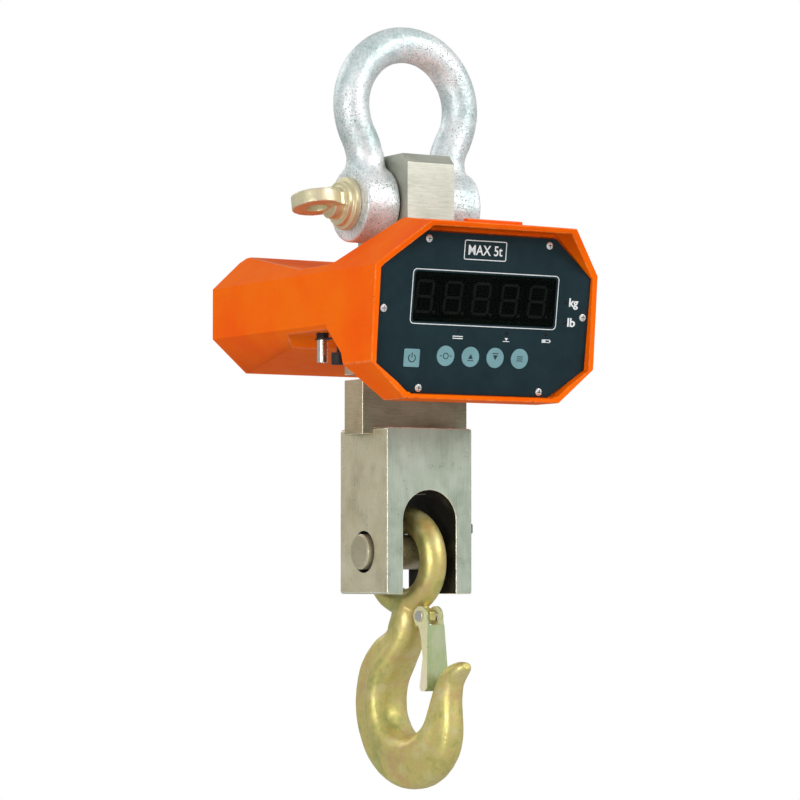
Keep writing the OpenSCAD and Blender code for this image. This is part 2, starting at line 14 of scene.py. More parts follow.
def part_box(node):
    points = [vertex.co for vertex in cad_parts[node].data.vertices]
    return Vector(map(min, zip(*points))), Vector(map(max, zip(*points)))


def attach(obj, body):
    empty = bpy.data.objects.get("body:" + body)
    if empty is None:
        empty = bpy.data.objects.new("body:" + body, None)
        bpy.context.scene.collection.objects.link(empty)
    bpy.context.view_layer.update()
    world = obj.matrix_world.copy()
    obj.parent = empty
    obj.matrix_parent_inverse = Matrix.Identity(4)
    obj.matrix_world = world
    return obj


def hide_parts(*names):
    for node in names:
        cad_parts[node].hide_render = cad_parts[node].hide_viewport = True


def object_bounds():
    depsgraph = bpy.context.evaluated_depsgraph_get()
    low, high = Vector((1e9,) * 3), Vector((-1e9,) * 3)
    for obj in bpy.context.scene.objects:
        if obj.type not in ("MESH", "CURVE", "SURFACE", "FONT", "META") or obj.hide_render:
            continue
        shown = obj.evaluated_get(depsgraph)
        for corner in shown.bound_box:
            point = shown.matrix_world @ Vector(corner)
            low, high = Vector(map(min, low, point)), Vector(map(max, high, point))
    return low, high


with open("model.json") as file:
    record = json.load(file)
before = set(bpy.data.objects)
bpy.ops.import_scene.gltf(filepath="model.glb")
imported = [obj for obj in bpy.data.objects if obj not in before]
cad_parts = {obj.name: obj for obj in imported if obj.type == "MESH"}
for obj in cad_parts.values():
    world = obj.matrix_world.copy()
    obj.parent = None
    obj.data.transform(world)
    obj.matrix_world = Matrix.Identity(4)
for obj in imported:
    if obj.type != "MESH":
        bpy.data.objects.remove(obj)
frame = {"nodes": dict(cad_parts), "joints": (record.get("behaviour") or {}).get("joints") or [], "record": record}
CAD_LOW, CAD_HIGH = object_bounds()
NODES = frame["nodes"]
BODY_OF = {n: body for body, names in frame["record"]["behaviour"]["bodies"].items() for n in names}
MM = 0.001
ACROSS = Vector((1, 0, 0))


def joint_named(name):
    return next(j for j in frame["joints"] if j["name"] == name)


def joint_place(name):
    return Vector(joint_named(name)["pos_m"])


# ---- Camera, light and floor ----

CAMERA_PLACE = (-1.6127, -2.6629, -0.4875)
CAMERA_HEADING = 31.098
CAMERA_PITCH = 3.07
CAMERA_LENS = 148.5
SENSOR_WIDTH = 36
FARTHEST_SEEN = 100
WHITE = (1, 1, 1, 1)
SKY_TINT = (0.98, 0.99, 1.0, 1)
SKY_BELOW, SKY_ABOVE = 0.32, 0.7
SKY_FRONT, SKY_BEHIND = 1.0, 0.8
FLOOR_DROP = 0.26
FLOOR_RADIUS = 9.0
FLOOR_GREY = (0.6, 0.6, 0.6, 1)
AIM = (0, 0, (CAD_LOW.z + CAD_HIGH.z) / 2)
LOW_AIM = (0, 0, CAD_LOW.z * 0.75)
# Name, place, point aimed at, width and height, watts.
LIGHTS = (
    ("key_light", (1.6, -2.6, 1.2), AIM, (1.4, 1.4), 46),
    ("fill_light", (-2.8, -1.9, -0.4), LOW_AIM, (0.9, 1.8), 50),
    ("rim_light", (-1.2, 2.4, 1.4), AIM, (1.5, 1.5), 14),
)


def make_camera():
    data = bpy.data.cameras.new("camera")
    data.lens = CAMERA_LENS
    data.sensor_width = SENSOR_WIDTH
    data.clip_end = FARTHEST_SEEN
    camera = bpy.data.objects.new("camera", data)
    camera.location = CAMERA_PLACE
    camera.rotation_euler = (math.radians(90 + CAMERA_PITCH), 0, math.radians(-CAMERA_HEADING))
    bpy.context.scene.collection.objects.link(camera)
    bpy.context.scene.camera = camera


def set_colour_view():
    """Plain screen colours, so that saturated paint keeps its colour."""
    bpy.context.scene.view_settings.view_transform = "Standard"


def make_lights():
    for name, place, aim, size, watts in LIGHTS:
        data = bpy.data.lights.new(name, "AREA")
        data.shape = "RECTANGLE"
        data.size, data.size_y = size
        data.energy = watts
        light = bpy.data.objects.new(name, data)
        light.location = place
        light.rotation_euler = (Vector(aim) - Vector(place)).to_track_quat("-Z", "Y").to_euler()
        bpy.context.scene.collection.objects.link(light)


def white_if_seen(tree, lit, kind):
    """White to the camera, and the lit shader to every other ray."""
    seen = node(tree, kind, {"Color": WHITE, "Strength": 1.0})
    path = node(tree, "LightPath")
    return node(tree, "MixShader", {0: path.outputs["Is Camera Ray"], 1: lit.outputs[0],
                                    2: seen.outputs[0]}).outputs[0]


def make_world():
    """White to the camera. As a light it is brightest above and in front, and greyer below and behind."""
    world = bpy.data.worlds.new("studio")
    bpy.context.scene.world = world
    world.use_nodes = True
    tree = world.node_tree
    tree.nodes.clear()
    way = node(tree, "TexCoord").outputs["Generated"]
    split = node(tree, "SeparateXYZ", {0: way})
    up = node(tree, "MapRange", {"Value": split.outputs["Z"], "From Min": -1.0, "From Max": 1.0,
                                 "To Min": SKY_BELOW, "To Max": SKY_ABOVE}).outputs[0]
    front = node(tree, "MapRange", {"Value": split.outputs["Y"], "From Min": -1.0, "From Max": 1.0,
                                    "To Min": SKY_FRONT, "To Max": SKY_BEHIND}).outputs[0]
    strength = node(tree, "Math", {0: up, 1: front}, operation="MULTIPLY").outputs[0]
    light = node(tree, "Background", {"Color": SKY_TINT, "Strength": strength})
    node(tree, "OutputWorld", {0: white_if_seen(tree, light, "Background")})


def make_floor():
    """White to the camera. As a surface that throws light back it is a middle grey."""
    mesh = bpy.data.meshes.new("floor")
    shape = bmesh.new()
    bmesh.ops.create_circle(shape, cap_ends=True, radius=FLOOR_RADIUS, segments=96)
    shape.to_mesh(mesh)
    shape.free()
    floor = bpy.data.objects.new("floor", mesh)
    floor.location = (0, 0, CAD_LOW.z - FLOOR_DROP)
    bpy.context.scene.collection.objects.link(floor)
    made = bpy.data.materials.new("floor")
    made.use_nodes = True
    tree = made.node_tree
    tree.nodes.clear()
    lit = node(tree, "BsdfDiffuse", {"Color": FLOOR_GREY})
    node(tree, "OutputMaterial", {0: white_if_seen(tree, lit, "Emission")})
    mesh.materials.append(made)


# ---- Material nodes ----
# A texture's scale is in features to the metre, and a bump's distance is in metres.

def node(tree, kind, inputs=None, **settings):
    """A new node. Each input is a value or another node's output."""
    made = tree.nodes.new("ShaderNode" + kind)
    for key, value in settings.items():
        setattr(made, key, value)
    for key, value in (inputs or {}).items():
        if isinstance(value, bpy.types.NodeSocket):
            tree.links.new(value, made.inputs[key])
        else:
            made.inputs[key].default_value = value
    return made


def rgb(r, g, b):
    """A linear colour from one on the 0 to 255 screen scale."""
    return tuple(((c / 255 + 0.055) / 1.055) ** 2.4 if c > 10 else c / 3295 for c in (r, g, b)) + (1.0,)


class Graph:
    """A material whose node tree is written as short calls."""

    def __init__(self, name, **constants):
        self.material = bpy.data.materials.new(name)
        self.material.use_nodes = True
        self.tree = self.material.node_tree
        self.shader = self.tree.nodes["Principled BSDF"]
        self.place = self.add("TexCoord").outputs["Object"]
        for key, value in constants.items():
            self.shader.inputs[key.replace("_", " ")].default_value = value

    def add(self, kind, inputs=None, **settings):
        return node(self.tree, kind, inputs, **settings)

    def stretched(self, x, y, z):
        return self.add("Mapping", {"Vector": self.place, "Scale": (x, y, z)}).outputs[0]

    def noise(self, scale, detail=4.0, rough=0.5, where=None, warp=0.0):
        return self.add("TexNoise", {"Vector": where or self.place, "Scale": scale, "Detail": detail,
                                     "Roughness": rough, "Distortion": warp}).outputs["Fac"]

    def cells(self, scale, where=None, feature="F1"):
        return self.add("TexVoronoi", {"Vector": where or self.place, "Scale": scale},
                        feature=feature).outputs["Distance"]

    def range(self, value, low, high, to_low=0.0, to_high=1.0):
        """A value from low to high moved to a new range, and held at its ends."""
        return self.add("MapRange", {"Value": value, "From Min": low, "From Max": high,
                                     "To Min": to_low, "To Max": to_high}).outputs[0]

    def maths(self, operation, a, b):
        return self.add("Math", {0: a, 1: b}, operation=operation).outputs[0]

    def times(self, a, b):
        return self.maths("MULTIPLY", a, b)

    def plus(self, a, b):
        return self.maths("ADD", a, b)

    def ramp(self, value, *stops):
        made = self.add("ValToRGB", {"Fac": value})
        elements = made.color_ramp.elements
        while len(elements) < len(stops):
            elements.new(0.5)
        for element, (at, colour) in zip(elements, stops):
            element.position = at
            element.color = colour
        return made.outputs["Color"]

    def mix(self, share, a, b):
        """From colour a at share 0 to colour b at share 1."""
        return self.add("Mix", {0: share, 6: a, 7: b}, data_type="RGBA").outputs[2]

    def bump(self, height, distance, strength):
        return self.add("Bump", {"Height": height, "Distance": distance, "Strength": strength}).outputs[0]

    def wire(self, **inputs):
        for key, value in inputs.items():
            self.tree.links.new(value, self.shader.inputs[key.replace("_", " ")])
        return self.material


def galvanised():
    """Hot dip zinc: chalky white with a green grey cloud, fine dark specks and pits."""
    g = Graph("galvanised_steel", Metallic=0.5)
    cloud = g.noise(30, 4, 0.55)
    grain = g.noise(420, 3, 0.7)
    tone = g.plus(g.times(cloud, 0.55), g.times(grain, 0.45))
    base = g.ramp(tone, (0.34, rgb(176, 198, 194)), (0.46, rgb(212, 226, 226)), (0.56, rgb(240, 244, 244)),
                  (0.66, rgb(254, 254, 255)))
    speck = g.range(g.noise(760, 2, 0.6), 0.57, 0.66)
    worn = g.range(g.noise(26, 3, 0.6), 0.44, 0.62)
    pit = g.times(g.range(g.cells(240), 0.2, 0.08), g.range(g.noise(44, 2), 0.46, 0.58))
    dark = g.maths("MAXIMUM", g.times(speck, g.range(worn, 0.0, 1.0, 0.22, 0.8)), g.times(pit, 0.8))
    base = g.mix(dark, base, rgb(84, 92, 90))
    rough = g.range(g.noise(120, 4, 0.6), 0.3, 0.7, 0.36, 0.52)
    lumps = g.plus(g.noise(300, 4, 0.6), g.times(dark, -0.5))
    return g.wire(Base_Color=base, Roughness=rough, Normal=g.bump(lumps, 0.0007, 0.7))


def milled_steel(name, tones, along=(1, 1, 0.04), rough=(0.26, 0.42), spots=0.4, metallic=0.9, grain=1500,
                 shine=0.5):
    """Bare or plated machined steel with cutter marks that run along the stretched direction."""
    g = Graph(name, Metallic=metallic, Specular_IOR_Level=shine)
    marks = g.noise(grain, 4, 0.65, g.stretched(*along))
    cloud = g.noise(22, 4, 0.55)
    tone = g.plus(g.times(marks, 0.4), g.times(cloud, 0.6))
    base = g.ramp(tone, *((0.32 + 0.18 * i, colour) for i, colour in enumerate(tones)))
    speck = g.range(g.noise(420, 3, 0.7), 0.64, 0.73)
    smear = g.range(g.noise(38, 3, 0.6), 0.56, 0.72)
    dirt = g.times(g.maths("MAXIMUM", speck, g.times(smear, 0.5)), spots)
    base = g.mix(dirt, base, rgb(92, 88, 70))
    dull = g.range(g.noise(90, 3), 0.3, 0.7, *rough)
    height = g.plus(marks, g.times(g.noise(300, 3), 0.3))
    return g.wire(Base_Color=base, Roughness=dull, Normal=g.bump(height, 0.00012, 0.6))


def yellow_passivated(name="yellow_passivated", dirt=1.0, fade=0.0):
    """Zinc plate with a yellow chromate film, whose thickness shifts it from gold to green and pink."""
    g = Graph(name, Metallic=0.62)
    film = g.noise(26, 5, 0.6, warp=0.6)
    fine = g.noise(150, 4, 0.65)
    tone = g.plus(g.times(film, 0.66), g.times(fine, 0.34))
    base = g.ramp(tone, (0.32, rgb(170, 178, 108)), (0.42, rgb(196, 190, 112)), (0.50, rgb(218, 204, 126)),
                  (0.58, rgb(216, 192, 124)), (0.66, rgb(210, 178, 130)), (0.74, rgb(182, 188, 120)))
    base = g.mix(fade, base, rgb(226, 222, 200))
    pale = g.range(g.noise(60, 3, 0.5), 0.52, 0.7)
    base = g.mix(g.times(pale, 0.35), base, rgb(232, 228, 184))
    speck = g.range(g.noise(620, 3, 0.7), 0.64, 0.72)
    base = g.mix(g.times(speck, 0.5 * dirt), base, rgb(96, 84, 44))
    rough = g.range(g.noise(110, 4), 0.3, 0.7, 0.36, 0.5)
    lumps = g.plus(g.noise(170, 4, 0.6), g.times(g.noise(900, 2), 0.2))
    return g.wire(Base_Color=base, Roughness=rough, Normal=g.bump(lumps, 0.0005, 0.6))


def orange_paint():
    """Sprayed paint on a casting: a slight cloud, a few dark specks and an orange peel skin."""
    g = Graph("orange_paint", Specular_IOR_Level=0.06)
    cloud = g.noise(14, 3, 0.5)
    base = g.ramp(cloud, (0.35, rgb(254, 96, 0)), (0.65, rgb(255, 112, 0)))
    speck = g.range(g.noise(520, 2, 0.6), 0.68, 0.75)
    base = g.mix(g.times(speck, 0.4), base, rgb(140, 40, 6))
    rough = g.range(g.noise(70, 3), 0.3, 0.7, 0.56, 0.7)
    peel = g.plus(g.noise(420, 2, 0.4), g.times(g.noise(60, 3), 1.6))
    return g.wire(Base_Color=base, Roughness=rough, Normal=g.bump(peel, 0.00035, 0.5))


def orange_edge_chips_and_highlight():
    """Paint over a rounded edge, lighter in patches as a painted highlight, with a few dark chips of real wear."""
    g = Graph("orange_edge_chips_and_highlight", Coat_Weight=0.1, Coat_Roughness=0.15, Coat_IOR=1.45, Specular_IOR_Level=0.15)
    # Patches where the edge is painted lighter: a painted highlight.
    patchy_highlight = g.range(g.noise(160, 4, 0.7), 0.5, 0.62)
    base = g.mix(g.times(patchy_highlight, 0.6), rgb(255, 108, 6), rgb(255, 150, 70))
    chip = g.range(g.noise(150, 4, 0.8), 0.6, 0.66)
    base = g.mix(g.times(chip, 0.7), base, rgb(120, 62, 30))
    rough = g.range(g.noise(200, 3), 0.3, 0.7, 0.3, 0.5)
    return g.wire(Base_Color=base, Roughness=rough, Normal=g.bump(g.noise(420, 3), 0.0003, 0.5))


def plastic(name, colour, rough=(0.4, 0.55), grain=1400, depth=0.00008, vary=0.12, coat=0.0, shine=0.5):
    """Moulded or printed plastic, or rubber: fine grain and a slight change of tone."""
    g = Graph(name, Coat_Weight=coat, Coat_Roughness=0.15, Specular_IOR_Level=shine)
    lighter = tuple(min(1.0, c * (1 + vary) + 0.002) for c in colour[:3]) + (1.0,)
    darker = tuple(c * (1 - vary) for c in colour[:3]) + (1.0,)
    base = g.ramp(g.noise(40, 4, 0.6), (0.3, darker), (0.7, lighter))
    dull = g.range(g.noise(160, 3), 0.3, 0.7, *rough)
    return g.wire(Base_Color=base, Roughness=dull, Normal=g.bump(g.noise(grain, 3, 0.6), depth, 0.5))


def plated(name, colour, rough=(0.18, 0.34), grain=600, dirt=0.25, metallic=1.0):
    """Small bright plated metal with a few dull marks."""
    g = Graph(name, Metallic=metallic)
    dull = tuple(c * 0.55 for c in colour[:3]) + (1.0,)
    base = g.mix(g.times(g.range(g.noise(grain, 4, 0.6), 0.52, 0.7), dirt), colour, dull)
    shine = g.range(g.noise(240, 3), 0.3, 0.7, *rough)
    return g.wire(Base_Color=base, Roughness=shine, Normal=g.bump(g.noise(1500, 3), 0.0001, 0.4))


def smoked_window():
    """A dark sheet that lets the digits' bars show through faintly."""
    g = Graph("smoked_window", Roughness=0.09, Alpha=0.6, Specular_IOR_Level=0.05)
    base = g.ramp(g.noise(18, 3), (0.3, rgb(4, 8, 6)), (0.7, rgb(9, 13, 11)))
    return g.wire(Base_Color=base, Normal=g.bump(g.noise(90, 2), 0.0001, 0.25))


def circuit_board():
    """Green lacquer with tracks and tinned pads."""
    g = Graph("circuit_board", Coat_Weight=0.5, Coat_Roughness=0.2)
    track = g.range(g.cells(190, g.stretched(1, 0.25, 1), feature="F2"), 0.5, 0.54)
    base = g.mix(track, rgb(14, 78, 40), rgb(32, 116, 60))
    pads = g.range(g.cells(240), 0.16, 0.10)
    base = g.mix(pads, base, rgb(200, 190, 150))
    return g.wire(Base_Color=base, Roughness=g.range(g.noise(80, 3), 0.3, 0.7, 0.3, 0.45),
                  Normal=g.bump(track, 0.00004, 0.5))


MATERIALS = {
    "galvanised": galvanised(),
    "block_steel": milled_steel("block_steel", [rgb(146, 150, 134), rgb(180, 181, 168), rgb(206, 206, 194)],
                                along=(0.05, 1, 1), rough=(0.3, 0.46), spots=0.35, metallic=0.7),
    # The load cell's front is darker and its sides get a lighter, warmer copy of the same steel: painted light and
    # shade.
    "cell_steel": milled_steel("cell_steel", [rgb(104, 108, 88), rgb(142, 146, 124), rgb(172, 172, 150)],
                               along=(0.04, 1, 1), rough=(0.4, 0.55), spots=0.7, metallic=0.35),
    "cell_side_lit": milled_steel("cell_side_lit", [rgb(168, 152, 118), rgb(200, 184, 148), rgb(222, 208, 176)],
                              along=(1, 0.04, 1), rough=(0.3, 0.46), spots=0.4, metallic=0.6),
    # The cheeks get a lighter, warmer copy of the clevis steel than its fore and aft faces: painted light.
    "clevis_steel": milled_steel("clevis_steel", [rgb(150, 164, 146), rgb(182, 194, 176), rgb(202, 212, 196)],
                                 spots=0.45, metallic=0.6),
    "clevis_side_lit": milled_steel("clevis_side_lit", [rgb(192, 182, 146), rgb(222, 214, 180), rgb(236, 230, 202)],
                                along=(1, 1, 0.06), spots=0.45, metallic=0.6),
    # Near-white steel on the rounded edges of the clevis and load cell: a painted highlight.
    "clevis_edge_highlight": milled_steel("clevis_edge_highlight", [rgb(226, 216, 184), rgb(244, 238, 212), rgb(255, 252, 236)],
                                rough=(0.2, 0.32), spots=0.15, metallic=0.5),
    # Near-black steel put inside the clevis slot and round the pin's recess, where there is only shade: painted
    # shade.
    "painted_shade_steel": milled_steel("painted_shade_steel", [rgb(18, 18, 14), rgb(32, 30, 23), rgb(60, 56, 44)],
                                 along=(1, 1, 0.1), rough=(0.7, 0.85), spots=0.5, metallic=0.1, shine=0.15),
    "pin_steel": milled_steel("pin_steel", [rgb(168, 160, 130), rgb(196, 188, 158), rgb(216, 210, 184)],
                              along=(0.3, 1, 1), grain=900, rough=(0.24, 0.4), spots=0.35, metallic=0.6),
    # Near-white steel on the rounded edges of the clevis pin: a painted highlight.
    "pin_edge_highlight": milled_steel("pin_edge_highlight", [rgb(232, 226, 206), rgb(246, 242, 226), rgb(255, 254, 244)],
                             rough=(0.2, 0.3), spots=0.15, metallic=0.5),
    "pin_zinc": yellow_passivated("pin_zinc", 0.7, 0.62),
    "passivated": yellow_passivated(),
    "latch_steel": milled_steel("latch_steel", [rgb(150, 172, 112), rgb(180, 196, 146), rgb(212, 208, 184)],
                                rough=(0.26, 0.4), spots=0.15, metallic=0.4),
    # A lighter copy of the latch steel, with a pinkish tint, for the faces that look sideways: painted light.
    "latch_flange_lit": milled_steel("latch_flange_lit", [rgb(226, 222, 150), rgb(244, 238, 196), rgb(248, 226, 216)],
                                 rough=(0.26, 0.4), spots=0.08, metallic=0.25),
    # Near-white steel on the latch's rounded edges: a painted highlight.
    "latch_edge_highlight": milled_steel("latch_edge_highlight", [rgb(240, 240, 214), rgb(252, 250, 236), rgb(255, 254, 248)],
                               rough=(0.2, 0.32), spots=0.05, metallic=0.25),
    "orange": orange_paint(),
    # Lighter orange on the rounded edges of the housing and rear cover: a painted highlight, with real chips.
    "orange_edge_chips_and_highlight": orange_edge_chips_and_highlight(),
    "panel": plastic("panel_green", rgb(24, 45, 51), rough=(0.36, 0.5), grain=2200, depth=0.00006,
                     shine=0.12),
    "print": plastic("white_print", rgb(232, 236, 236), rough=(0.4, 0.5), vary=0.04),
    "key": plastic("key_blue", rgb(112, 156, 162), rough=(0.36, 0.48), vary=0.08, coat=0.2),
    "key_print": plastic("dark_print", rgb(20, 40, 46), vary=0.1),
    "window": smoked_window(),
    "digit_face": plastic("digit_face", rgb(8, 11, 9), rough=(0.5, 0.6), vary=0.05, shine=0.1),
    "segment": plastic("segment", rgb(128, 138, 126), rough=(0.4, 0.5), vary=0.05, shine=0.1),
    "rubber": plastic("black_rubber", rgb(28, 27, 26), rough=(0.55, 0.75), grain=900, vary=0.2),
    "dark_plastic": plastic("dark_plastic", rgb(46, 47, 49), rough=(0.42, 0.6)),
    "red_lens": plastic("red_lens", rgb(26, 12, 14), rough=(0.2, 0.3), vary=0.1, shine=0.3),
    "bright": plated("bright_nickel", rgb(226, 224, 214)),
    "screw_steel": plated("screw_steel", rgb(240, 240, 236), rough=(0.25, 0.4), metallic=0.6),
    # Black oxide for the real black screws, and also put in the panel screws' cross slots as painted shade.
    "black_oxide_and_slot_shade": plated("black_oxide_and_slot_shade", rgb(40, 39, 36), rough=(0.4, 0.55), metallic=0.4),
    "spring": plated("spring_wire", rgb(176, 176, 164)),
    "board": circuit_board(),
}


# ---- Mesh tools ----

WELD = 0.002        # seams in a CAD node's mesh are closed up to this, in millimetres
FLAT_ANGLE = 0.4    # degrees between the triangles of one flat face, at most
SLIVER = 0.001      # edges shorter than this are dropped, in millimetres
NORMAL_WEIGHT = 60
WIRE_SIDES = 12
LAYER_SHIFT = 7.1   # from one layer of noise to the next
NOISE_START = (3.3, 1.7)
FACING = 0.9        # least share of a face's normal along the direction that the face looks in
TURNED_AWAY = 0.5   # greatest share for a face that looks elsewhere


def new_piece(name, shape, body, keys, replaces=(), smooth=35.0):
    """Turns a bmesh into a piece that rides on a body, with its materials, and frees the bmesh."""
    mesh = bpy.data.meshes.new(name)
    bmesh.ops.recalc_face_normals(shape, faces=shape.faces)
    shape.to_mesh(mesh)
    shape.free()
    piece = bpy.data.objects.new(name, mesh)
    bpy.context.scene.collection.objects.link(piece)
    for key in keys:
        mesh.materials.append(MATERIALS[key])
    mesh.polygons.foreach_set("use_smooth", [True] * len(mesh.polygons))
    mesh.set_sharp_from_angle(angle=math.radians(smooth))
    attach(piece, body)
    if replaces:
        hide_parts(*replaces)
    return piece


def from_node(name):
    """A bmesh copy of a CAD node with its seams closed and its flat faces whole."""
    shape = bmesh.new()
    shape.from_mesh(NODES[name].data)
    bmesh.ops.remove_doubles(shape, verts=shape.verts, dist=WELD * MM)
    bmesh.ops.dissolve_limit(shape, angle_limit=math.radians(FLAT_ANGLE), verts=shape.verts,
                             edges=shape.edges)
    for face in shape.faces:
        face.material_index = 0
    return shape


def weighted(piece):
    """Shading that follows the large faces, so that they look flat beside a rounded edge."""
    modifier = piece.modifiers.new("normals", "WEIGHTED_NORMAL")
    modifier.keep_sharp = True
    modifier.weight = NORMAL_WEIGHT


def softened(node_name, keys, width, steps=2, angle=22.0, shortest=0.0, highlight_key=None, name=None,
             paint=None, only=None):
    """A node with its sharp edges rounded over. It stands in for the node.

    width and shortest, the least length of an edge, are in millimetres, and angle, the least turn at an edge,
    is in degrees. The key for the rounded strips names a lighter material, a painted highlight, and
    paint(face, index) chooses each face's material. Where only(edge) picks the edges, they all get the full
    width. Otherwise it shrinks to fit.
    """
    shape = from_node(node_name)
    edges = [e for e in shape.edges if len(e.link_faces) == 2 and e.calc_length() > shortest * MM
             and e.calc_face_angle(0) > math.radians(angle) and (only is None or only(e))]
    bmesh.ops.bevel(shape, geom=edges, offset=width * MM, offset_type="OFFSET", segments=steps, profile=0.5,
                    affect="EDGES", clamp_overlap=only is None, loop_slide=True,
                    material=len(keys) if highlight_key else -1)
    bmesh.ops.dissolve_degenerate(shape, dist=SLIVER * MM, edges=shape.edges)
    if paint:
        shape.normal_update()
        for face in shape.faces:
            face.material_index = paint(face, face.material_index)
    all_keys = list(keys) + ([highlight_key] if highlight_key else [])
    weighted(new_piece(name or node_name + "_body", shape, BODY_OF[node_name], all_keys, (node_name,)))


def shape_of(piece):
    """A bmesh of a piece with its modifiers applied."""
    evaluated = piece.evaluated_get(bpy.context.evaluated_depsgraph_get())
    shape = bmesh.new()
    shape.from_mesh(evaluated.to_mesh())
    evaluated.to_mesh_clear()
    return shape


def remeshed(shape, voxel, rounds):
    """One skin round everything in a bmesh, of cells voxel millimetres wide, rounded off by smoothing."""
    mesh = bpy.data.meshes.new("skin")
    shape.to_mesh(mesh)
    shape.free()
    skin = bpy.data.objects.new("skin", mesh)
    bpy.context.scene.collection.objects.link(skin)
    remesh = skin.modifiers.new("remesh", "REMESH")
    remesh.mode = "VOXEL"
    remesh.voxel_size = voxel * MM
    smooth = skin.modifiers.new("smooth", "SMOOTH")
    smooth.factor = 0.5
    smooth.iterations = rounds
    made = shape_of(skin)
    bpy.data.objects.remove(skin)
    return made


def roughen(shape, *layers):
    """Moves each vertex along its normal by layers of noise, given as (wavelength, height) in millimetres."""
    shape.normal_update()
    moves = []
    for vertex in shape.verts:
        height = sum(h * noise.noise(vertex.co / (w * MM) + Vector((i * LAYER_SHIFT, *NOISE_START)))
                     for i, (w, h) in enumerate(layers))
        moves.append(vertex.normal * height * MM)
    for vertex, move in zip(shape.verts, moves):
        vertex.co += move


def joined(*shapes):
    """Several bmeshes as one."""
    mesh = bpy.data.meshes.new("joined")
    made = bmesh.new()
    for shape in shapes:
        shape.to_mesh(mesh)
        made.from_mesh(mesh)
        shape.free()
    return made


def angles(count):
    """Angles evenly round a circle."""
    return [2 * math.pi * k / count for k in range(count)]


def skin_rows(shape, rows, closed=True):
    """Four-sided faces between each row of vertices and the next. A closed row joins up at its ends."""
    for a, b in zip(rows, rows[1:]):
        for k in range(len(a) if closed else len(a) - 1):
            m = (k + 1) % len(a)
            shape.faces.new((a[k], a[m], b[m], b[k]))


def loft(rings):
    """A closed skin through rings that have the same number of points."""
    shape = bmesh.new()
    rows = [[shape.verts.new(p) for p in ring] for ring in rings]
    skin_rows(shape, rows)
    shape.faces.new(list(reversed(rows[0])))
    shape.faces.new(rows[-1])
    bmesh.ops.recalc_face_normals(shape, faces=shape.faces)
    return shape


def turned_ring(profile, steps):
    """A ring: a closed profile of (radius, height) points spun about Z."""
    shape = bmesh.new()
    rows = [[shape.verts.new((radius * math.cos(t), radius * math.sin(t), height)) for t in angles(steps)]
            for radius, height in profile]
    skin_rows(shape, rows + rows[:1])
    bmesh.ops.recalc_face_normals(shape, faces=shape.faces)
    return shape


def swept(points, radius):
    """A round wire along points, turned as little as it can be from one point to the next."""
    rings = []
    side = (points[1] - points[0]).normalized().orthogonal().normalized()
    for i, point in enumerate(points):
        before, after = points[max(i - 1, 0)], points[min(i + 1, len(points) - 1)]
        ahead = (after - before).normalized()
        side = (side - ahead * side.dot(ahead)).normalized()
        over = ahead.cross(side)
        rings.append([point + radius * (side * math.cos(t) + over * math.sin(t)) for t in angles(WIRE_SIDES)])
    return loft(rings)


def smooth_line(points, steps):
    """A curve through points (tuples of any length), with steps points between each pair."""
    made = []
    for i in range(len(points) - 1):
        p0, p1 = points[max(i - 1, 0)], points[i]
        p2, p3 = points[i + 1], points[min(i + 2, len(points) - 1)]
        for k in range(steps):
            t = k / steps
            made.append(tuple(0.5 * (2 * b + (c - a) * t + (2 * a - 5 * b + 4 * c - d) * t * t
                                     + (3 * b - a - 3 * c + d) * t ** 3)
                              for a, b, c, d in zip(p0, p1, p2, p3)))
    made.append(tuple(points[-1]))
    return made


def placed(shape, matrix):
    bmesh.ops.transform(shape, matrix=matrix, verts=shape.verts)
    return shape


# ---- Shackle ----

SHACKLE_AXIS = joint_place("shackle_swing")
# The forged web that spreads each leg into its eye: height over the pin, half depth, half thickness.
WEB = [(50, 16.6, 16.8), (42, 17.4, 17.4), (36, 19.0, 17.7), (31, 21.6, 17.9), (26, 25.4, 17.9),
       (20, 30.0, 17.9), (12, 33.0, 17.9)]
WEB_SQUARE = 2.3    # power of the web's oval section: 2 is an ellipse, and more is squarer
WEB_POINTS = 40
EYE_GAP = 1.0       # from the load block to the inner face of an eye
EYE_OUTSIDE = 62.5  # from the middle to the outer face of an eye


def oval(centre, half_x, half_y):
    """A level, squarish ring of points round centre."""
    ring = []
    for t in angles(WEB_POINTS):
        c, s = math.cos(t), math.sin(t)
        ring.append(centre + ACROSS * half_x * math.copysign(abs(c) ** (2 / WEB_SQUARE), c)
                    + Vector((0, 1, 0)) * half_y * math.copysign(abs(s) ** (2 / WEB_SQUARE), s))
    return ring


def shackle_web(side):
    eye_middle = side * (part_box("load_block")[1].x + EYE_GAP * MM + EYE_OUTSIDE * MM) / 2
    return loft([oval(Vector((eye_middle, 0, SHACKLE_AXIS.z + up * MM)), thick * MM, deep * MM)
                 for up, deep, thick in smooth_line(WEB, 3)])


def make_shackle():
    bow = joined(from_node("shackle_bow"), shackle_web(1), shackle_web(-1))
    bow = remeshed(bow, voxel=1.15, rounds=26)
    roughen(bow, (22, 0.35), (6, 0.16), (2.6, 0.07))
    new_piece("bow_forged", bow, "shackle", ["galvanised"], ["shackle_bow"], smooth=80)
    pin = remeshed(from_node("shackle_pin"), voxel=0.8, rounds=5)
    roughen(pin, (14, 0.16), (4, 0.06))
    for vertex in pin.verts:
        vertex.co.x = max(vertex.co.x, CAD_LOW.x)
    new_piece("pin_forged", pin, "shackle", ["pin_zinc"], ["shackle_pin"], smooth=80)


# ---- Hook ----

HOOK_AXIS = joint_place("hook_swing")
LATCH_AXIS = joint_place("latch_open")
HOOK_TURN = math.atan2(*reversed(joint_named("latch_open")["axis"][:2]))
AT_HOOK = Matrix.Translation(HOOK_AXIS) @ Matrix.Rotation(HOOK_TURN, 4, "Z")
AT_LATCH = Matrix.Translation(LATCH_AXIS) @ Matrix.Rotation(HOOK_TURN, 4, "Z")
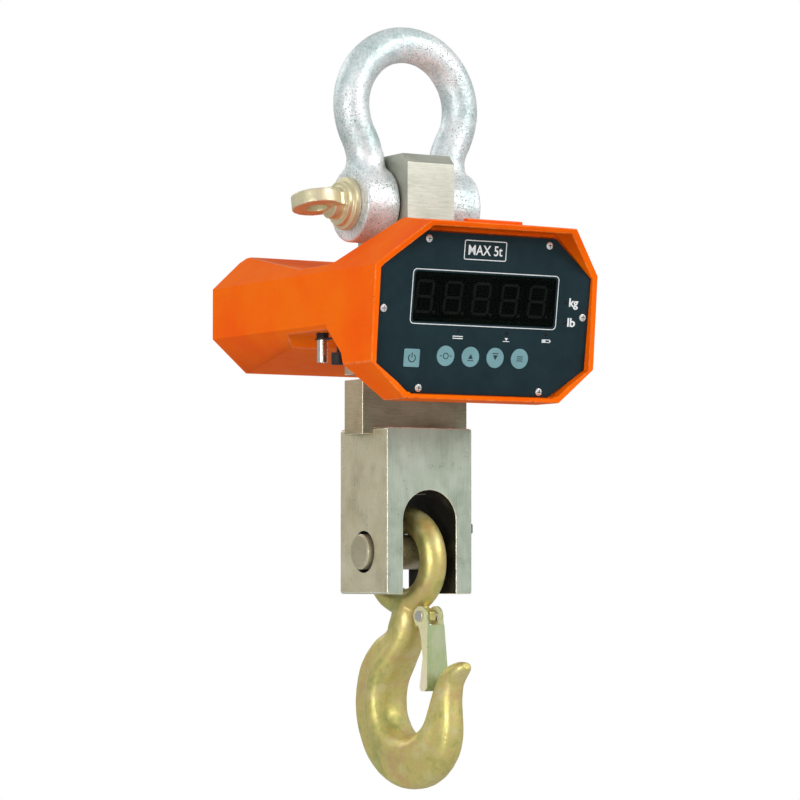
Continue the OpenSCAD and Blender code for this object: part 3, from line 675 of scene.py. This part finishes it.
# The hook's eye: radius to the middle of its bar, the bar's own radius, and its drop below the pin.
EYE_R, EYE_BAR, EYE_DROP = 38.4, 12.8, 8.8
EYE_POINTS, EYE_STEPS = 32, 96
HOOK_STEPS = 5      # sections from each point of the line to the next
HOOK_WINDOW = 4     # sections on each side that give a section its direction
HOOK_POINTS = 64
LUG_HALF = 4        # half thickness of the lug that holds the latch
# Centre line of the hook from the eye to the tip: forward, up, half depth, half thickness, share of the bead.
HOOK_LINE = [
    (2, -44, 13, 13, 0), (3.5, -60, 16.5, 16.5, 0.1), (1, -72, 17.5, 18, 0.2), (-4.5, -84, 17.5, 19.5, 0.5),
    (-19.5, -98, 21.5, 22, 0.85), (-31.5, -113, 23, 23, 1), (-37.5, -130, 23.4, 23, 1),
    (-38.5, -146, 23.8, 23, 1), (-35, -162, 24.2, 23, 1), (-24.5, -180, 25, 23, 1),
    (-6.5, -192.8, 25.6, 22.5, 1), (12, -196.4, 25.8, 22, 0.95), (31, -191.8, 25, 21, 0.85),
    (46.5, -179.4, 23, 19.5, 0.7), (54, -164, 20, 17.5, 0.5), (56.2, -148, 17.3, 15, 0.35),
    (58.5, -135, 15, 13.5, 0.2), (61.8, -124.4, 13.3, 12.5, 0.1), (67.2, -116.2, 11.4, 11.5, 0),
    (74.2, -111, 9, 10.5, 0), (81, -107.4, 6.3, 8.5, 0), (86, -105.2, 3.4, 5, 0)]
# Half thickness of the forged section from its back (-1), a flank, to its inner side (1), a full bead.
BEAD = [(-1.0, 0.0), (-0.985, 0.24), (-0.93, 0.42), (-0.82, 0.56), (-0.6, 0.635), (-0.3, 0.68),
        (-0.08, 0.73), (0.06, 0.83), (0.2, 0.94), (0.38, 1.0), (0.56, 0.97), (0.72, 0.87), (0.84, 0.71),
        (0.93, 0.5), (0.985, 0.24), (1.0, 0.0)]


def bead(at):
    """Half thickness at a place between the inner side (1) and the back (-1)."""
    for (a, low), (b, high) in zip(BEAD, BEAD[1:]):
        if at <= b:
            return low + (high - low) * (at - a) / (b - a)


def hook_rings():
    """Sections of the hook. The inner side is a full bead, and the back is a thinner flank."""
    line = smooth_line(HOOK_LINE, HOOK_STEPS)
    rings = []
    for i, (forward, up, deep, thick, share) in enumerate(line):
        a, b = line[max(i - HOOK_WINDOW, 0)], line[min(i + HOOK_WINDOW, len(line) - 1)]
        t = math.atan2(b[1] - a[1], b[0] - a[0])
        ring = []
        for q in angles(HOOK_POINTS):
            c, s = math.cos(q), math.sin(q)
            wide = thick * ((1 - share) * s + share * math.copysign(bead(c), s))
            ring.append(Vector((wide, -(forward - deep * c * math.sin(t)), up + deep * c * math.cos(t))) * MM)
        rings.append(ring)
    return rings


def hook_eye():
    ring = [(EYE_R + EYE_BAR * math.cos(t), EYE_BAR * math.sin(t)) for t in angles(EYE_POINTS)]
    eye = turned_ring([(r * MM, h * MM) for r, h in ring], EYE_STEPS)
    return placed(eye, Matrix.Translation((0, 0, -EYE_DROP * MM)) @ Matrix.Rotation(math.pi / 2, 4, "Y"))


def hook_lug():
    outline = [(-10, -44), (-32, -53), (-38, -56), (-38, -64), (-30, -68), (-10, -72)]
    return loft([[Vector((x, y, z)) * MM for y, z in outline] for x in (-LUG_HALF, LUG_HALF)])


def make_hook():
    hook = joined(loft(hook_rings()), hook_eye(), hook_lug())
    hook = remeshed(hook, voxel=1.0, rounds=7)
    roughen(hook, (20, 0.3), (7, 0.15), (2.4, 0.06))
    new_piece("hook_forged", placed(hook, AT_HOOK), "hook", ["passivated"], ["hook"], smooth=80)


def latch_paint(face, index):
    """The flanges and ears face sideways in the hook's own directions, and get the lighter copy of the steel as
    painted light.
    """
    across = Matrix.Rotation(HOOK_TURN, 3, "Z") @ ACROSS
    return 1 if index == 0 and abs(face.normal.dot(across)) > FACING else index


# The latch's spring, in millimetres: where a coil starts beside the middle, and its own sizes.
COIL_START = 4.4
COIL_TURNS, COIL_STEPS = 2.5, 20
COIL_PITCH, COIL_RADIUS, COIL_WIRE, COIL_LEG = 1.35, 4.0, 0.62, 5.0


def coil():
    """A wire helix about X with a straight leg at its outer end."""
    line = []
    for k in range(int(COIL_TURNS * COIL_STEPS) + 1):
        t = 2 * math.pi * k / COIL_STEPS
        line.append(Vector((COIL_PITCH * k / COIL_STEPS, COIL_RADIUS * math.cos(t),
                            COIL_RADIUS * math.sin(t))) * MM)
    last = line[-1]
    line += [last + Vector((0.1 * MM, -0.3 * MM, -COIL_LEG * MM * k / 4)) for k in range(1, 5)]
    return swept(line, COIL_WIRE * MM)


def make_latch():
    softened("latch", ["latch_steel", "latch_flange_lit"], 0.9, steps=3, angle=30, shortest=2,
             highlight_key="latch_edge_highlight", paint=latch_paint)
    softened("latch_pin", ["bright"], 0.4, steps=3)
    coils = [placed(coil(), Matrix.Diagonal((side, 1, 1, 1)) @ Matrix.Translation((COIL_START * MM, 0, 0)))
             for side in (-1, 1)]
    new_piece("latch_coils", placed(joined(*coils), AT_LATCH), "hook", ["spring"], ["latch_spring"])


# ---- Machined blocks ----

CLEVIS_LOW, CLEVIS_TOP = (corner.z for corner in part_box("clevis"))
RECESS_REACH = 22   # radius that holds the recess round the clevis pin
CHEEK_INSIDE = 30   # from the middle to just past the slot's walls
ARCH_DROP = 40      # from the clevis's top down to a level above the slot's arch
FOOT = 5            # height that holds the undersides of the cheeks
CROSS_LIFT = (1.05, 1.7)  # height over the panel of the cross slots in its screws
SQUARE_ON, EDGE_ON = 0.95, 0.2
REAR_RIM = 10       # depth of the housing's end that keeps its sharp edges


def clevis_paint(face, index):
    """Cheeks, in a lighter copy of the steel as painted light, the faces that look fore and aft, and the inside of
    the slot and of the pin's recess, in near-black steel as painted shade.
    """
    spots = [v.co for v in face.verts]
    # Faces of the pin's recess get the near-black steel: painted shade.
    if max(math.hypot(p.y, p.z - HOOK_AXIS.z) for p in spots) < RECESS_REACH * MM:
        return 2
    if index > 0:
        return index
    inside = (max(abs(p.x) for p in spots) < CHEEK_INSIDE * MM
              and max(p.z for p in spots) < CLEVIS_TOP - ARCH_DROP * MM)
    underside = face.normal.z < -FACING and min(p.z for p in spots) < CLEVIS_LOW + FOOT * MM
    # The slot's inner walls get the near-black steel: painted shade.
    if inside and abs(face.normal.y) < TURNED_AWAY and not underside:
        return 2
    # The cheeks get the lighter copy of the steel: painted light.
    return 1 if abs(face.normal.x) > FACING else 0


def cross_paint(face, index):
    """The floor and walls of the cross slots get the dark material: painted shade."""
    out = abs(face.normal.dot(PANEL_OUT))
    lift = (face.calc_center_median().dot(PANEL_OUT) - FACE_DISTANCE) / MM
    return 1 if CROSS_LIFT[0] < lift < CROSS_LIFT[1] and (out > SQUARE_ON or out < EDGE_ON) else 0


def side_paint(face, index):
    """The faces that look left and right, which get the lighter copy of the steel as painted light."""
    return 1 if index == 0 and abs(face.normal.x) > FACING else index


def make_blocks():
    softened("load_block", ["block_steel"], 0.8)
    softened("load_cell", ["cell_steel", "cell_side_lit"], 0.9, highlight_key="clevis_edge_highlight",
             paint=side_paint)
    softened("clevis", ["clevis_steel", "clevis_side_lit", "painted_shade_steel"], 1.3, angle=30,
             highlight_key="clevis_edge_highlight", paint=clevis_paint)
    softened("clevis_pin", ["pin_steel"], 0.6, highlight_key="pin_edge_highlight")
    # The cross slots of these screws get the dark material: painted shade.
    softened("panel_screws", ["screw_steel", "black_oxide_and_slot_shade"], 0.12, paint=cross_paint)
    softened("rear_screws", ["bright"], 0.4, steps=3)
    softened("pin_keeper", ["pin_steel"], 0.6)
    softened("keeper_screws", ["black_oxide_and_slot_shade"], 0.4)
    softened("cell_bolt", ["black_oxide_and_slot_shade"], 0.6)


# The socket's rubber sleeve: radii in millimetres, and where its ribs start as shares of its half height.
SLEEVE_INSIDE, SLEEVE_OUTSIDE, RIB_OUTSIDE = 5.25, 5.5, 5.9
RIB_STARTS = (-0.8, -0.2, 0.4)
SLEEVE_STEPS = 64


def make_collar():
    """A rubber sleeve with three ribs round the top of the charging socket."""
    low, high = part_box("socket_collar")
    half = (high.z - low.z) / 2
    profile = [(SLEEVE_INSIDE, -1.0), (SLEEVE_OUTSIDE, -0.98)]
    for at in RIB_STARTS:
        profile += [(SLEEVE_OUTSIDE, at), (RIB_OUTSIDE, at + 0.12), (RIB_OUTSIDE, at + 0.28),
                    (SLEEVE_OUTSIDE, at + 0.4)]
    profile += [(SLEEVE_OUTSIDE, 0.98), (SLEEVE_INSIDE, 1.0)]
    sleeve = turned_ring([(r * MM, z * half) for r, z in profile], SLEEVE_STEPS)
    new_piece("socket_sleeve", placed(sleeve, Matrix.Translation((low + high) / 2)), "scale", ["rubber"],
              ["socket_collar"])


def outer_edge(edge):
    """A convex edge of the casting that stays clear of the thin rim round the rear cover."""
    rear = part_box("housing")[1].y - REAR_RIM * MM
    return edge.is_convex and max(v.co.y for v in edge.verts) < rear


def make_housing():
    softened("housing", ["orange"], 1.2, steps=3, angle=14, shortest=9, highlight_key="orange_edge_chips_and_highlight",
             name="housing_cast", only=outer_edge)
    softened("rear_cover", ["orange"], 0.7, angle=30, shortest=3, highlight_key="orange_edge_chips_and_highlight")


# ---- Display panel: prints, digits and keys ----

PANEL_OUT = -Vector(joint_named("key_1_press")["axis"])
PANEL_UP = PANEL_OUT.cross(ACROSS)
PRINT = 0.12        # thickness of the printing


def reach_of(name):
    """How far out a node reaches, square to the panel, in metres."""
    return max(v.co.dot(PANEL_OUT) for v in NODES[name].data.vertices)


FACE_DISTANCE = reach_of("front_panel")


def middle_of(name):
    """The middle of a node in panel directions, on the front face of the panel."""
    points = [v.co for v in NODES[name].data.vertices]
    spans = [(min(p.dot(way) for p in points) + max(p.dot(way) for p in points)) / 2
             for way in (ACROSS, PANEL_UP)]
    return ACROSS * spans[0] + PANEL_UP * spans[1] + PANEL_OUT * FACE_DISTANCE


def facing(origin, lift=0.0):
    """A matrix whose x runs across the panel, y up it and z out of it."""
    made = Matrix.Identity(4)
    for i, axis in enumerate((ACROSS, PANEL_UP, PANEL_OUT)):
        made.col[i][:3] = axis
    made.col[3][:3] = origin + PANEL_OUT * lift * MM
    return made


WINDOW_MIDDLE = middle_of("display_window")


def rounded_outline(wide, high, radius, steps=6):
    """A rectangle with rounded corners, steps lines to each."""
    points = []
    for x, y, start in ((1, 1, 0), (-1, 1, 90), (-1, -1, 180), (1, -1, 270)):
        for k in range(steps + 1):
            t = math.radians(start + 90 * k / steps)
            points.append((x * (wide / 2 - radius) + radius * math.cos(t),
                           y * (high / 2 - radius) + radius * math.sin(t)))
    return points


def plate(points, low, high, at=(0, 0)):
    """A flat piece with an outline, from low to high."""
    return loft([[Vector((x + at[0], y + at[1], z)) * MM for x, y in points] for z in (low, high)])


def frame_line(wide, high, radius, line, at=(0, 0)):
    """A printed rounded rectangle, as one closed band."""
    outer = rounded_outline(wide, high, radius)
    inner = rounded_outline(wide - 2 * line, high - 2 * line, max(radius - line, 0.3))
    shape = bmesh.new()
    rows = [[shape.verts.new(Vector((x + at[0], y + at[1], z)) * MM) for x, y in ring]
            for ring, z in ((outer, 0), (outer, PRINT), (inner, PRINT), (inner, 0))]
    skin_rows(shape, rows + rows[:1])
    return shape


ARC_STEPS = 40


def ring_line(radius, line, start=0.0, sweep=360.0):
    """A printed arc or a whole ring."""
    whole = sweep >= 360
    count = ARC_STEPS if whole else ARC_STEPS + 1
    outer, inner = radius + line / 2, radius - line / 2
    shape = bmesh.new()
    rows = []
    for r, z in ((outer, 0), (outer, PRINT), (inner, PRINT), (inner, 0)):
        rows.append([shape.verts.new(Vector((r * math.cos(t), r * math.sin(t), z)) * MM)
                     for t in (math.radians(start + sweep * k / ARC_STEPS) for k in range(count))])
    skin_rows(shape, rows + rows[:1], whole)
    if not whole:
        for k in (0, count - 1):
            shape.faces.new([row[k] for row in rows])
    return shape


CAPITAL = 0.70      # height of a capital letter as a share of the type size


def lettering(text, height, at, bold, wide):
    """Printed letters or figures of a given height and width, their left end and base line at a place."""
    curve = bpy.data.curves.new("letters", "FONT")
    curve.body = text
    curve.size = height / CAPITAL * MM
    curve.offset = bold * MM
    curve.extrude = PRINT / 2 * MM
    maker = bpy.data.objects.new("letters", curve)
    bpy.context.scene.collection.objects.link(maker)
    shape = shape_of(maker)
    bpy.data.objects.remove(maker)
    bmesh.ops.remove_doubles(shape, verts=shape.verts, dist=SLIVER * MM)
    left, right = min(v.co.x for v in shape.verts), max(v.co.x for v in shape.verts)
    squeeze = wide * MM / (right - left)
    for vertex in shape.verts:
        vertex.co.x = (vertex.co.x - left) * squeeze
    return placed(shape, Matrix.Translation(Vector((at[0], at[1], PRINT / 2)) * MM))


def bar(wide, high, at=(0, 0)):
    return plate(rounded_outline(wide, high, min(wide, high) * 0.3, 3), 0, PRINT, at)


def polygon(points, at=(0, 0)):
    return plate(points, 0, PRINT, at)


# Places on the panel in millimetres from the middle of the window.
CAPACITY_AT = (-3.9, 44.3)
UNIT_X = 91.6
LAMP_X = (-26.8, 25.6, 68.9)
LAMP_Y = -34.6


def make_prints():
    """The window's frame, the capacity label, the two units and the signs of the three lamps."""
    two_bars, arrow, cell = LAMP_X
    prints = [
        frame_line(157.6, 50.0, 4.2, 0.75),
        frame_line(45.4, 18.0, 1.6, 0.8, CAPACITY_AT),
        lettering("MAX 5t", height=9.0, at=(CAPACITY_AT[0] - 18.2, CAPACITY_AT[1] - 4.3), bold=0.14,
                  wide=36.6),
        lettering("kg", height=7.6, at=(UNIT_X, -2.4), bold=0.3, wide=10.0),
        lettering("lb", height=7.8, at=(UNIT_X - 0.4, -21.0), bold=0.3, wide=8.6),
        bar(11.0, 0.8, (two_bars, LAMP_Y)),
        bar(11.0, 0.8, (two_bars, LAMP_Y - 1.9)),
        polygon([(-1.8, 1.1), (1.8, 1.1), (0, -1.4)], (arrow, LAMP_Y - 0.8)),
        bar(7.0, 0.6, (arrow, LAMP_Y - 2.8)),
        frame_line(8.8, 3.0, 0.5, 0.6, (cell, LAMP_Y - 0.9)),
        bar(0.8, 1.4, (cell + 5.0, LAMP_Y - 0.9)),
        bar(3.2, 1.5, (cell - 1.9, LAMP_Y - 0.9)),
    ]
    shape = placed(joined(*prints), facing(WINDOW_MIDDLE))
    new_piece("panel_prints", shape, "scale", ["print"], smooth=30)


def key_sign(name):
    """The pieces of a key's sign: a power ring, a circle with ticks, up, down, or three bars."""
    if name == "power_key":
        return [ring_line(3.6, 0.9, start=125, sweep=290), bar(0.9, 4.6, (0, 2.6))]
    if name == "key_1":
        return [ring_line(2.6, 0.8), bar(2.2, 0.8, (-5.2, 0)), bar(2.2, 0.8, (5.2, 0))]
    if name == "key_2":
        return [polygon([(-2.6, -1.8), (2.6, -1.8), (0, 2.6)]), bar(6.4, 0.8, (0, -3.4))]
    if name == "key_3":
        return [polygon([(-2.6, 2.4), (2.6, 2.4), (0, -2.0)]), bar(6.4, 0.8, (0, 4.0))]
    return [bar(6.6, 0.8, (0, 1.9)), bar(6.6, 0.8, (0, 0)), bar(6.6, 0.8, (0, -1.9))]


SIGN_SINK = 0.02    # how far a sign is let into its cap


def make_keys():
    """Caps with a rounded rim, each on its own body, and the sign printed on it."""
    for name in ("power_key", "key_1", "key_2", "key_3", "key_4"):
        softened(name, ["key"], 0.35, steps=3, angle=40, name=name + "_cap")
        lift = (reach_of(name) - FACE_DISTANCE) / MM
        sign = placed(joined(*key_sign(name)), facing(middle_of(name), lift - SIGN_SINK))
        new_piece(name + "_sign", sign, BODY_OF[name], ["key_print"], smooth=30)


MODULE_WIDE, MODULE_HIGH, MODULE_DEEP = 28.0, 38.0, 7.4
FACE_RECESS = 0.5   # from the node's front to the modules' faces
DIGIT_PITCH = 30.4
DIGIT_SHIFT = -1.6  # from a module's middle to its figure's
DIGIT_HIGH, DIGIT_WIDE = 27.8, 16.6
SEGMENT_LEAN = 0.08
SEGMENT_WIDE, SEGMENT_GAP, SEGMENT_PROUD = 2.6, 0.7, 0.35
POINT_RADIUS, POINT_BESIDE, POINT_SIDES = 1.6, 2.6, 20


def segment_outline(length, upright):
    """A bar with pointed ends."""
    half, t = length / 2, SEGMENT_WIDE / 2
    points = [(-half, 0), (-half + t, t), (half - t, t), (half, 0), (half - t, -t), (-half + t, -t)]
    return [(-y, x) for x, y in points] if upright else points


def digit(at_x):
    """One figure's seven bars and its point."""
    bars = []
    w, h = DIGIT_WIDE / 2, DIGIT_HIGH / 2
    spots = [((0, h), False), ((0, 0), False), ((0, -h), False)]
    spots += [((x, y), True) for x in (-w, w) for y in (-h / 2, h / 2)]
    for (x, y), upright in spots:
        outline = segment_outline((h if upright else DIGIT_WIDE) - SEGMENT_GAP, upright)
        outline = [(px + x + SEGMENT_LEAN * (py + y), py + y) for px, py in outline]
        bars.append(plate(outline, 0, SEGMENT_PROUD, (at_x, 0)))
    dot = [(POINT_RADIUS * math.cos(t), POINT_RADIUS * math.sin(t)) for t in angles(POINT_SIDES)]
    bars.append(plate(dot, 0, SEGMENT_PROUD, (at_x + w + POINT_BESIDE, -h)))
    return bars


def make_digits():
    """Dark faced modules side by side with pale bars on their faces."""
    lift = (reach_of("led_digits") - FACE_DISTANCE) / MM - FACE_RECESS
    middles = [i * DIGIT_PITCH for i in range(-2, 3)]
    face = rounded_outline(MODULE_WIDE, MODULE_HIGH, 0.6, 3)
    modules = [plate(face, -MODULE_DEEP, 0, (x, 0)) for x in middles]
    new_piece("digit_modules", placed(joined(*modules), facing(WINDOW_MIDDLE, lift)), "scale", ["digit_face"],
              ["led_digits"], smooth=30)
    bars = [b for x in middles for b in digit(x + DIGIT_SHIFT)]
    new_piece("digit_bars", placed(joined(*bars), facing(WINDOW_MIDDLE, lift)), "scale", ["segment"],
              smooth=30)


# ---- Materials for the nodes that keep their own shape ----

KEPT = {
    "cell_stud": "black_oxide_and_slot_shade",
    "housing_spacers": "bright", "housing_screws": "black_oxide_and_slot_shade", "panel_gasket": "rubber",
    "front_panel": "panel", "display_window": "window",
    "main_board": "board", "board_standoffs": "bright", "indicator_leds": "red_lens",
    "tact_switches": "dark_plastic", "rear_gasket": "rubber", "battery": "dark_plastic",
    "battery_strap": "bright", "strap_screws": "black_oxide_and_slot_shade", "charge_socket": "bright",
    "socket_cap": "rubber", "lead_grommets": "rubber", "cell_lead": "rubber",
    "power_lead": "rubber", "charge_lead": "rubber",
}


def paint_kept_nodes():
    for name, key in KEPT.items():
        materials = NODES[name].data.materials
        for i in range(len(materials)):
            materials[i] = MATERIALS[key]


set_colour_view()
make_camera()
make_world()
make_floor()
make_lights()
make_shackle()
make_hook()
make_latch()
make_blocks()
make_housing()
make_collar()
make_prints()
make_keys()
make_digits()
paint_kept_nodes()
